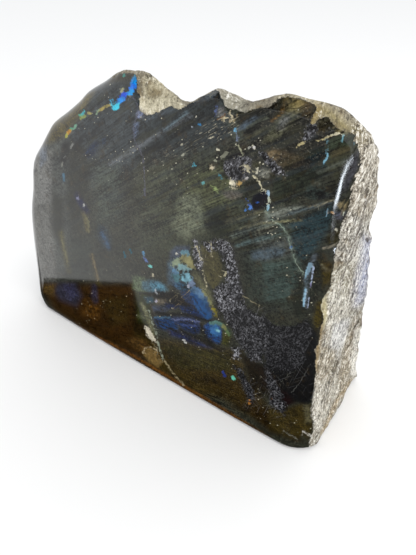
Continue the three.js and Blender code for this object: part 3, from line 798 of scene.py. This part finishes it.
def lineGap(text, closed=False, reach=30.0):
    # distance in pixels from each seen point of the stone to a line, whole pixels if the reach is a whole
    # number; with a sign, less than nothing inside an outline, or to the left of an open line
    p = places(text)
    near = np.flatnonzero((seen > 0) & (pixelX > p[:, 0].min() - reach) & (pixelX < p[:, 0].max() + reach)
                          & (pixelY > p[:, 1].min() - reach) & (pixelY < p[:, 1].max() + reach))
    x, y = pixelX[near], pixelY[near]
    nearest, side, inside = np.full(len(x), reach), np.ones(len(x)), np.zeros(len(x), bool)
    ends = zip(p, np.roll(p, -1, axis=0)) if closed else zip(p[:-1], p[1:])
    for (x0, y0), (x1, y1) in ends:
        ex, ey = x1 - x0, y1 - y0
        along = ((x - x0)*ex + (y - y0)*ey)/(ex*ex + ey*ey)
        held = np.clip(along, 0, 1)
        gap = np.hypot(x - x0 - held*ex, y - y0 - held*ey)
        closer = gap < nearest
        beside = np.where(along == held, np.sign((x - x0)*ey - (y - y0)*ex), 1)
        nearest, side = np.where(closer, gap, nearest), np.where(closer, beside, side)
        if ey:
            inside ^= ((y0 > y) != (y1 > y)) & (x < x0 + (y - y0)/ey*ex)
    gaps = np.full(len(pixelX), reach)
    gaps[near] = np.where(inside, -nearest, nearest) if closed else nearest*np.where(side == 0, 1, side)
    return gaps

def paintTones(marks):
    tones = np.tile(tint(marks["ground"]), (len(form), 1))
    layers = [(code, soft, lineGap(outline, True)) for code, soft, outline in marks["outlines"]]
    layers += [(code, soft, abs(lineGap(line)) - half) for code, soft, half, line in marks["lines"]]
    for code, soft, gap in layers:
        share = smooth(soft/2, -soft/2, gap)*seen
        tones += (tint(code) - tones)*share[:, None]
    return tones

def paintFlashes(reach=8):
    # how far inside a flash of colour a point lies, in pixels, and the flash's colour; the flashes are
    # painted sheen
    depth, tones = np.full(len(form), -float(reach)), np.zeros((len(form), 3))
    layers = [(code, -lineGap(outline, True, reach)) for code, outline in flashes["outlines"]]
    layers += [(code, half - abs(lineGap(line, reach=reach))) for code, half, line in flashes["lines"]]
    for code, inside in layers:
        inside = np.where(inSight, inside, -reach)
        over = (inside > depth) | (inside > 0.3)
        tones[over] = tint(code)
        depth = np.maximum(depth, inside)
    return depth, tones

def paintCracks(reach=9, spread=4):
    side, half, tones = np.full(len(form), float(reach)), np.zeros(len(form)), np.zeros((len(form), 3))
    for code, width, line in cracks:
        gap = lineGap(line, reach=reach)
        closer = (abs(gap) < abs(side)) & inSight
        side[closer], tones[closer] = gap[closer], tint(code)
        half[closer & (abs(gap) < width + spread)] = width
    return side, half, tones

def paintMatte(reach=12):
    depth, chalk = np.full(len(form), -float(reach)), np.zeros(len(form))
    for amount, outline in matte:
        inside = np.where(inSight, -lineGap(outline, True, reach), -reach)
        chalk = np.where(inside > depth, amount, chalk)
        depth = np.maximum(depth, inside)
    return depth, chalk

def paintShare(areas):
    share = np.zeros(len(form))
    for amount, soft, outline in areas:
        share = np.maximum(share, amount*smooth(soft/2, -soft/2, lineGap(outline, True))*seen)
    return share

def paintPolish(reach=6):
    # how far inside the polish a point lies, in millimetres; less than nothing on the broken crust
    shaped = np.clip(polishedBody(*form.T) - brokenBody(*form.T), -reach, reach)
    drawn = np.clip(-lineGap(polishedFace, True)*photo["pixelSize"], -reach, reach)
    return shaped + (drawn - shaped)*seen

polishDepth = paintPolish()
matteDepth, chalk = paintMatte()
print("markings laid out")

crust = {
    "grains": [(2.8, 0.34), (1.5, 0.22)],       # size and height of the lumps, millimetres
    "striaAcross": 1.5, "striaAlong": 15.0, "striaHeight": 0.5, "striaLean": 20.0,
    "matteSink": 0.3, "matteGrain": (1.8, 0.16),
    "footFree": 2.5,                            # the last millimetres over the floor stay as they are
}

def roughen(points):
    x, y, z = points.T
    c = crust
    rough = smooth(0.2, -0.6, polishDepth)
    rise = sum(height*lumps(x/size + 31*n, y/size, z/size) for n, (size, height) in enumerate(c["grains"]))
    lean = math.radians(c["striaLean"])
    across, along = y*math.cos(lean) - z*math.sin(lean), y*math.sin(lean) + z*math.cos(lean)
    stria = lumps(across/c["striaAcross"], along/c["striaAlong"], x/c["striaAlong"] + 5)
    rise = rise + c["striaHeight"]*stria*smooth(0.5, 0.8, normals[:, 0])
    size, height = c["matteGrain"]
    sunk = smooth(-1.5, 1.5, matteDepth)
    rise = rough*rise - sunk*(1 - rough)*(c["matteSink"] + height*lumps(x/size, y/size + 9, z/size))
    for (u, v), radius, depth in chips:
        bowl = np.clip(1 - ((pixelX - u)**2 + (pixelY - v)**2)/radius**2, 0, 1)
        rise = rise - depth*bowl*inSight*(0.8 + 0.4*lumps(x, y, z))
    moved = points + normals*(rise*smooth(0.1, c["footFree"], z))[:, None]
    moved[:, 2] = np.maximum(moved[:, 2], 0)
    return moved

def stoneMesh():
    made = bpy.data.meshes.new("polished_stone")
    made.from_pydata(metres(roughen(form)).tolist(), [], faces.tolist())
    made.polygons.foreach_set("use_smooth", np.ones(len(faces), bool))
    flashDepth, flashTones = paintFlashes()
    crackSide, crackHalf, crackTones = paintCracks()
    numbers = {"polishDepth": polishDepth, "matteDepth": matteDepth, "chalk": chalk, "flashDepth": flashDepth,
               "crackSide": crackSide, "crackHalf": crackHalf, "sideShare": smooth(0.45, 0.75, normals[:, 0])}
    for name, areas in shares.items():
        numbers[name] = paintShare(areas)
    colours = {"polishTone": paintTones(polishTones), "crustTone": paintTones(crustTones),
               "flashTone": flashTones, "crackTone": crackTones}
    for name, values in numbers.items():
        field = made.attributes.new(name, "FLOAT", "POINT")
        field.data.foreach_set("value", values.astype(np.float32))
    for name, values in colours.items():
        field = made.attributes.new(name, "FLOAT_VECTOR", "POINT")
        field.data.foreach_set("vector", values.astype(np.float32).ravel())
    made.update()
    return made

stone = bpy.data.objects.new("polished_stone", stoneMesh())
bpy.context.scene.collection.objects.link(stone)
print("stone mesh made")

# the labradorite

finish = {
    "polishRoughness": (0.06, 0.12), "matteRoughness": 0.5, "crustRoughness": 0.88,
    "index": 1.56,
    # noise in the stone: how its grain turns about x and y in degrees, its size along the three axes
    # in millimetres, detail, roughness and warp
    "noises": {
        "fine": ((0, -33), (18, 5, 0.75), 4, 0.7),
        "wide": ((0, -36), (60, 14, 5), 3, 0.5, 0.4),
        "thread": ((0, -33), (9, 4, 0.6), 2, 0.6),
        "flatFine": ((0, -9), (16, 5, 0.8), 4, 0.7),
        "cloud": ((0, 0), 13, 4, 0.55),
        "mottle": ((0, 0), 3.2, 4, 0.65),
        "hair": ((0, 0), 1.2, 3, 0.75),
        "slate": ((0, -33), (34, 9, 2.6), 2),
        "olive": ((0, -33), (22, 9, 3.4), 3, 0.6),
        "rust": ((0, 0), 5, 5, 0.75),
        "seam": ((0, -29), (17, 8, 4.4), 2, 0.5, 0.5),
        "steep": ((0, 62), (15, 8, 6), 2, 0.5, 0.3),
        "seamBreaks": ((0, 0), 8, 2),
        "dust": ((0, 0), 0.75, 2, 0.8),
        "splinter": ((0, -33), (4, 2, 0.36), 2, 0.6),
        "torn": ((0, 0), 0.9, 3, 0.8),
        "matteEdge": ((0, 0), 1.3, 4, 0.75),
        "scuff": ((0, -68), (1.5, 0.6, 0.5), 2, 0.7),
        "crossScuff": ((0, -12), (1.2, 0.6, 0.5), 2, 0.7),
        "blotch": ((0, 0), 4, 4, 0.7),
        "hairlineA": ((0, -47), (20, 6, 0.36), 1, 0.4),
        "hairlineB": ((0, 33), (20, 6, 0.36), 1, 0.4),
        "hairlineC": ((0, -76), (20, 6, 0.36), 1, 0.4),
        "wander": ((0, 0), 1.5, 2, 0.6),
        "crackBreaks": ((0, 0), 1.8, 3, 0.7),
        "stria": ((-20, 0), (6, 0.55, 5), 3, 0.65),
        "bands": ((-20, 0), (12, 2.2, 26), 3, 0.6),
        "sand": ((0, 0), 0.9, 3, 0.8),
        "patchy": ((0, 0), 6, 4, 0.65),
        "weather": ((0, 0), 26, 3, 0.6),
        "ochre": ((0, 0), 4, 4, 0.7),
        "jag": ((0, 0), 1.5, 4, 0.75),
        "smudge": ((0, 0), 9, 3, 0.6),
    },
    # how strongly a noise makes the polish lighter and darker: everywhere, and where streaks are painted
    "light": {"cloud": 1.2, "mottle": 1.6, "hair": 3.6},
    "streakLight": {"fine": 3.2, "thread": 2.4, "wide": 2.6},
    "flatLight": {"flatFine": 4.4},
    # the same for the crust, with what its right side has on top of that
    "crustLight": {"sand": (1.9, 2.5), "crystal": (0.5, 0.6), "weather": (1.1, 0), "stria": (0, 1.6),
                   "bands": (0, 1), "patchy": (1, 0)},
    # where each thing begins to show and where it shows in full
    "steps": {
        "slate": (0.5, 0.68), "olive": (0.52, 0.66), "rust": (0.53, 0.68), "seam": (0.022, 0.004),
        "steep": (0.012, 0.002), "seamBreaks": (0.45, 0.62), "speck": (-0.02, 0.08), "dust": (0.55, 0.75),
        "splinter": (0.57, 0.67), "flash": (-0.3, 0.5), "matte": (-0.8, 0.8), "scuff": (0.56, 0.68),
        "crossScuff": (0.58, 0.7), "powder": (0.45, 0.9), "hairline": (0.66, 0.76), "crack": (0.35, -0.35),
        "crackBreaks": (0.38, 0.56), "crustDark": (0.3, -0.15), "crustPale": (0.62, 1.15),
        "ochre": (0.53, 0.7), "polish": (-0.12, 0.12),
    },
    # how ragged the edges are: of flashes, matte patches and cracks in pixels, of the polish in millimetres
    "ragged": {"torn": 3.2, "matteEdge": 9.0, "wander": 0.6, "jag": 3.6},
    # the least light, and the light of flashes, chalk and crust: what is always there, and what a noise adds
    "leastLight": 0.2, "flashLight": (-0.1, 2.2), "chalkLight": (-1.5, 4.6), "crustGain": (0.45, 1.05),
    "flashShare": 0.9, "crackShare": 0.9,
    # tones laid over the rest, and how much of each shows
    "tones": {
        "slate": ("#343c40", 0.3), "olive": ("#34321c", 0.35), "rust": ("#40321a", 0.35),
        "fracture": ("#0c0b08", 0.65), "speck": ("#b4b09c", 0.9), "dust": ("#7c7768", 0.75),
        "splinter": ("#b8b098", 1.0), "hairline": ("#85858a", 0.5), "ochre": ("#7c6438", 0.35),
        "crustDark": ("#3a3126", 0.75), "crustPale": ("#f2f0ea", 0.75),
    },
    "matteTones": ("#0d0d0f", "#c4c4cc"),
    # cells of the specks, the chalk and the crust's crystals
    "cells": {
        "speck": ((0, -33), (1.7, 1.1, 1)),
        "powder": ((0, -60), (0.9, 0.5, 0.55)),
        "crystal": ((-20, 0), (0.9, 0.6, 1.9)),
    },
}

def labradorite():
    material = bpy.data.materials.new("labradorite")
    material.use_nodes = True
    tree = material.node_tree
    shader = tree.nodes["Principled BSDF"]
    made = {}

    def put(socket, value):
        if isinstance(value, bpy.types.NodeSocket):
            tree.links.new(value, socket)
        elif isinstance(value, str):
            socket.default_value = (*tint(value), 1)
        else:
            socket.default_value = value

    def sums(operation, a, b=0.0):
        node = tree.nodes.new("ShaderNodeMath")
        node.operation = operation
        put(node.inputs[0], a)
        put(node.inputs[1], b)
        return node.outputs[0]

    def add(a, b):
        return sums("ADD", a, b)

    def less(a, b):
        return sums("SUBTRACT", a, b)

    def times(a, b):
        return sums("MULTIPLY", a, b)

    def larger(a, b):
        return sums("MAXIMUM", a, b)

    def step(value, name):
        start, end = finish["steps"][name]
        node = tree.nodes.new("ShaderNodeMapRange")
        node.interpolation_type = "SMOOTHSTEP"
        put(node.inputs["Value"], value)
        put(node.inputs["From Min"], min(start, end))
        put(node.inputs["From Max"], max(start, end))
        put(node.inputs["To Min"], 0.0 if start < end else 1.0)
        put(node.inputs["To Max"], 1.0 if start < end else 0.0)
        return node.outputs[0]

    def mix(share, a, b):
        node = tree.nodes.new("ShaderNodeMix")
        node.data_type = "RGBA"
        put(node.inputs[0], share)
        put(node.inputs[6], a)
        put(node.inputs[7], b)
        return node.outputs[2]

    def over(under, share, name):
        # one of the finish's tones laid over the rest
        tone, amount = finish["tones"][name]
        return mix(times(share, amount), under, tone)

    def scaled(colour, amount):
        node = tree.nodes.new("ShaderNodeVectorMath")
        node.operation = "SCALE"
        put(node.inputs[0], colour)
        put(node.inputs["Scale"], amount)
        return node.outputs[0]

    def painted(name, kind="Fac"):
        node = tree.nodes.new("ShaderNodeAttribute")
        node.attribute_name = name
        return node.outputs[kind]

    place = scaled(tree.nodes.new("ShaderNodeTexCoord").outputs["Object"], 1000.0)

    def stretched(turn, size):
        node = tree.nodes.new("ShaderNodeMapping")
        node.vector_type = "TEXTURE"
        tree.links.new(place, node.inputs["Vector"])
        node.inputs["Rotation"].default_value = [math.radians(a) for a in (*turn, 0)]
        node.inputs["Scale"].default_value = size if isinstance(size, tuple) else (size, size, size)
        return node.outputs[0]

    def noise(name):
        if name not in made:
            turn, size, detail, *rest = finish["noises"][name]
            node = tree.nodes.new("ShaderNodeTexNoise")
            tree.links.new(stretched(turn, size), node.inputs["Vector"])
            node.inputs["Scale"].default_value = 1.0
            node.inputs["Detail"].default_value = detail
            node.inputs["Roughness"].default_value = rest[0] if rest else 0.5
            node.inputs["Distortion"].default_value = rest[1] if len(rest) > 1 else 0.0
            made[name] = node.outputs["Fac"]
        return made[name]

    def cells(name):
        node = tree.nodes.new("ShaderNodeTexVoronoi")
        tree.links.new(stretched(*finish["cells"][name]), node.inputs["Vector"])
        node.inputs["Scale"].default_value = 1.0
        return node.outputs

    def sway(value, amount):
        # a noise that goes as far below nothing as above
        return times(add(value, -0.5), amount)

    def ragged(edge, name):
        return add(edge, sway(noise(name), finish["ragged"][name]))

    def lit(name, always, added):
        return add(always, times(noise(name), added))

    # the polished stone: tone, streaks and clouds
    streak = painted("streakShare")
    light = 1.0
    for name, amount in finish["light"].items():
        light = add(light, sway(noise(name), amount))
    for name, amount in finish["streakLight"].items():
        light = add(light, times(sway(noise(name), amount), streak))
    for name, amount in finish["flatLight"].items():
        light = add(light, times(sway(noise(name), amount), painted("flatShare")))
    polished = scaled(painted("polishTone", "Vector"), larger(light, finish["leastLight"]))
    polished = over(polished, times(step(noise("slate"), "slate"), streak), "slate")
    polished = over(polished, times(step(noise("olive"), "olive"), streak), "olive")
    polished = over(polished, step(noise("rust"), "rust"), "rust")

    # dark hairline fractures along the slant, and a few steep ones
    seam = step(sums("ABSOLUTE", add(noise("seam"), -0.5)), "seam")
    steep = step(sums("ABSOLUTE", add(noise("steep"), -0.5)), "steep")
    fracture = times(larger(seam, times(steep, 0.7)), step(noise("seamBreaks"), "seamBreaks"))
    polished = over(polished, fracture, "fracture")

    # pale specks and dust, and thin pale splinters along the slant
    speckShare = painted("speckShare")
    speckCells = cells("speck")
    room = times(add(add(speckCells["Color"], times(speckShare, 0.2)), -0.82), 2.0)
    speck = step(less(sums("MINIMUM", room, 0.28), speckCells["Distance"]), "speck")
    polished = over(polished, speck, "speck")
    polished = over(polished, times(step(noise("dust"), "dust"), speckShare), "dust")
    splinter = times(step(noise("splinter"), "splinter"), painted("splinterShare"))
    polished = over(polished, splinter, "splinter")

    # the play of colour, torn at its edges: painted sheen, laid over the polish as fixed colour
    flash = step(ragged(painted("flashDepth"), "torn"), "flash")
    flashTone = scaled(painted("flashTone", "Vector"), lit("mottle", *finish["flashLight"]))
    polished = mix(times(flash, finish["flashShare"]), polished, flashTone)

    # matte patches: dark, with chalky scuffs
    isMatte = step(ragged(painted("matteDepth"), "matteEdge"), "matte")
    chalky = larger(step(noise("scuff"), "scuff"), times(step(noise("crossScuff"), "crossScuff"), 0.8))
    chalky = add(times(chalky, 0.5), times(step(cells("powder")["Color"], "powder"), 0.6))
    blotch = larger(lit("blotch", *finish["chalkLight"]), 0.05)
    chalky = times(chalky, times(painted("chalk"), blotch))
    polished = mix(isMatte, polished, mix(chalky, *finish["matteTones"]))

    # hairline scratches
    scratchShare = painted("scratchShare")
    for name in ("hairlineA", "hairlineB", "hairlineC"):
        polished = over(polished, times(step(noise(name), "hairline"), scratchShare), "hairline")

    # cracks
    gap = sums("ABSOLUTE", ragged(painted("crackSide"), "wander"))
    half = painted("crackHalf")
    crack = times(step(less(gap, half), "crack"), sums("GREATER_THAN", half, 0.05))
    crack = times(crack, step(noise("crackBreaks"), "crackBreaks"))
    polished = mix(times(crack, finish["crackShare"]), polished, painted("crackTone", "Vector"))

    # the broken crust: fine pale and dark grains, with striation on the right side
    side = painted("sideShare")
    made["crystal"] = cells("crystal")["Color"]
    grey = 0.5
    for name, (amount, onSide) in finish["crustLight"].items():
        grey = add(grey, sway(noise(name), add(amount, times(side, onSide))))
    always, added = finish["crustGain"]
    rough = scaled(painted("crustTone", "Vector"), add(always, times(larger(grey, 0.0), added)))
    rough = over(rough, step(grey, "crustDark"), "crustDark")
    rough = over(rough, step(grey, "crustPale"), "crustPale")
    rough = over(rough, step(add(noise("ochre"), sway(noise("weather"), -0.3)), "ochre"), "ochre")

    isPolished = step(ragged(painted("polishDepth"), "jag"), "polish")
    isRough = less(1.0, isPolished)
    put(shader.inputs["Base Color"], mix(isPolished, rough, polished))

    low, high = finish["polishRoughness"]
    gloss = lit("smudge", low, high - low)
    gloss = add(gloss, times(times(isMatte, add(0.25, chalky)), finish["matteRoughness"] - low))
    gloss = add(gloss, times(crack, 0.3))
    put(shader.inputs["Roughness"], add(times(gloss, isPolished), times(isRough, finish["crustRoughness"])))
    shader.inputs["IOR"].default_value = finish["index"]

    ripple = add(times(noise("smudge"), 0.02), times(times(noise("scuff"), isMatte), 0.1))
    bumps = add(times(noise("sand"), 0.45), times(noise("stria"), 0.5))
    bump = tree.nodes.new("ShaderNodeBump")
    bump.inputs["Strength"].default_value = 1.0
    bump.inputs["Distance"].default_value = 0.001
    put(bump.inputs["Height"], add(times(ripple, isPolished), times(bumps, isRough)))
    put(shader.inputs["Normal"], bump.outputs[0])
    return material

stone.data.materials.append(labradorite())
print("labradorite finished")

# floor, lights and the cards that only a gloss can see

studio = {
    "floorSize": 14.0, "floorTint": (0.92, 0.92, 0.92),
    "skyTint": (0.98, 0.99, 1.0), "skyStrength": 1.0,
    "keyPlace": (1.1, -0.5, 1.3), "keyAim": (0, 0, 0.08), "keySize": 1.3, "keyPower": 12.0,
    "keyTint": (1.0, 0.98, 0.95),
}

def plainMaterial(name, colour, glow=0.0):
    made = bpy.data.materials.new(name)
    made.use_nodes = True
    shader = made.node_tree.nodes["Principled BSDF"]
    shader.inputs["Base Color"].default_value = (*colour, 1)
    shader.inputs["Roughness"].default_value = 0.9
    shader.inputs["Specular IOR Level"].default_value = 0.0
    if glow:
        shader.inputs["Emission Color"].default_value = (*colour, 1)
        shader.inputs["Emission Strength"].default_value = glow
    return made

def addStage(name, points, quads, material, onlyInGloss=False):
    mesh = bpy.data.meshes.new(name)
    mesh.from_pydata(points, [], quads)
    mesh.materials.append(material)
    made = bpy.data.objects.new(name, mesh)
    if onlyInGloss:
        made.visible_camera = made.visible_diffuse = False
        made.visible_shadow = made.visible_transmission = False
    bpy.context.scene.collection.objects.link(made)
    return mesh

def addFloor():
    half = studio["floorSize"]/2
    corners = [(-half, -half, 0), (half, -half, 0), (half, half, 0), (-half, half, 0)]
    addStage("floor", corners, [(0, 1, 2, 3)], plainMaterial("floor_paper", studio["floorTint"]))

def addSky():
    world = bpy.data.worlds.new("studio_sky")
    world.use_nodes = True
    world.node_tree.nodes["Background"].inputs["Color"].default_value = (*studio["skyTint"], 1)
    world.node_tree.nodes["Background"].inputs["Strength"].default_value = studio["skyStrength"]
    bpy.context.scene.world = world

def addKeyLight():
    made = bpy.data.objects.new("key_light", bpy.data.lights.new("key_light", "AREA"))
    made.data.shape = "DISK"
    made.data.size, made.data.energy = studio["keySize"], studio["keyPower"]
    made.data.color = studio["keyTint"]
    made.location = studio["keyPlace"]
    toward = Vector(studio["keyAim"]) - Vector(studio["keyPlace"])
    made.rotation_euler = toward.to_track_quat("-Z", "Y").to_euler()
    bpy.context.scene.collection.objects.link(made)

# a card that stands for the floor in the polish: paler to the left, darker towards the foot and the right
floorShade = {
    "aim": (151.5, 102.0, 200.0),       # the camera's place mirrored in the polished face, form millimetres
    "faceLeft": -170, "faceRight": 130, "faceTop": 176, "faceFoot": -12, "sideReach": 900,
    "rows": 45, "faceColumns": 31, "sideColumns": 14, "columnGap": 30,
    "lift": 0.2,
    "glow": 0.95,
    "rightKeep": 0.22,                  # how much of the floor's light is left at the right end
    "sideKeep": 0.12,                   # and past it, where only the rounded right edge looks
    "rightFade": (-10, 95), "sideFade": (110, 165),     # where along the face it gets darker
    # how high up the face it gets pale, which changes along the face
    "riseFoot": -5, "riseTop": (20, 105), "riseChange": (-15, 25), "riseCurve": (1, 1.3),
}

def shadeMaterial():
    made = bpy.data.materials.new("floor_shade")
    made.use_nodes = True
    nodes, links = made.node_tree.nodes, made.node_tree.links
    nodes.remove(nodes["Principled BSDF"])
    glow = nodes.new("ShaderNodeEmission")
    keep = nodes.new("ShaderNodeAttribute")
    keep.attribute_name = "keep"
    scale = nodes.new("ShaderNodeMath")
    scale.operation = "MULTIPLY"
    scale.inputs[1].default_value = floorShade["glow"]
    links.new(keep.outputs["Fac"], scale.inputs[0])
    links.new(scale.outputs[0], glow.inputs["Strength"])
    links.new(glow.outputs[0], nodes["Material Output"].inputs["Surface"])
    return made

def addShadeCard():
    s = floorShade
    rows = s["rows"]
    xs = np.append(np.linspace(s["faceLeft"], s["faceRight"], s["faceColumns"]),
                   np.linspace(s["faceRight"] + s["columnGap"], s["sideReach"], s["sideColumns"]))
    zs = np.linspace(s["faceFoot"], s["faceTop"], rows)
    x, z = (a.ravel() for a in np.meshgrid(xs, zs, indexing="ij"))
    aimX, aimY, aimZ = s["aim"]
    reach = aimZ/(aimZ - z)
    points = np.stack([aimX + (x - aimX)*reach, aimY + (stoneShape["faceY"] - aimY)*reach,
                       np.full(len(x), s["lift"])], 1)
    quads = [(i*rows + j, (i + 1)*rows + j, (i + 1)*rows + j + 1, i*rows + j + 1)
             for i in range(len(xs) - 1) for j in range(rows - 1)]
    keep = (1 - (1 - s["rightKeep"])*smooth(*s["rightFade"], x)
            - (s["rightKeep"] - s["sideKeep"])*smooth(*s["sideFade"], x))
    change = smooth(*s["riseChange"], x)
    top, curve = (low + (high - low)*change for low, high in (s["riseTop"], s["riseCurve"]))
    rise = smooth(s["riseFoot"], top, z)**curve
    mesh = addStage("floor_shade", metres(points).tolist(), quads, shadeMaterial(), True)
    field = mesh.attributes.new("keep", "FLOAT", "POINT")
    field.data.foreach_set("value", (keep*rise).astype(np.float32))

# flat cards, with their corners in millimetres of the form; the last is the window's strip, seen in the
# rounded right edge
cards = {
    "dark_card": {
        "corners": "8,-47,0.4 -29,-67,0.4 -63,-94,0.4 -121,-54,0.4 -111,-36,0.4 26,-36,0.4",
        "colour": (0.01, 0.006, 0.003), "glow": 0.0,
    },
    "rim_card": {
        "corners": "-1400,-1500,1 600,-1500,1 600,-500,2600 -1400,-500,2600",
        "colour": (0.02, 0.02, 0.02), "glow": 0.0,
    },
    "streak_card": {
        "corners": "700,-616,0.5 420,-490,0.5 296,-436,0.5 243,-418,0.5 204,-398,0.5 182,-380,0.5 "
                   "172,-365,0.5 156,-350,0.5 138,-340,0.5 130,-331,0.5 150,-330,0.5 172,-334,0.5 "
                   "198,-343,0.5 213,-356,0.5 230,-368,0.5 240,-388,0.5 284,-406,0.5 326,-418,0.5 "
                   "448,-485,0.5 790,-634,0.5",
        "colour": (0.85, 0.92, 1.0), "glow": 26.0,
    },
}

addFloor()
addSky()
addKeyLight()
bpy.context.scene.view_settings.view_transform = "Standard"
addShadeCard()
for name, card in cards.items():
    corners = metres(places(card["corners"])).tolist()
    material = plainMaterial(name, card["colour"], card["glow"])
    addStage(name, corners, [tuple(range(len(corners)))], material, True)
print("studio set up")

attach(stone, "root")
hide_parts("stone")
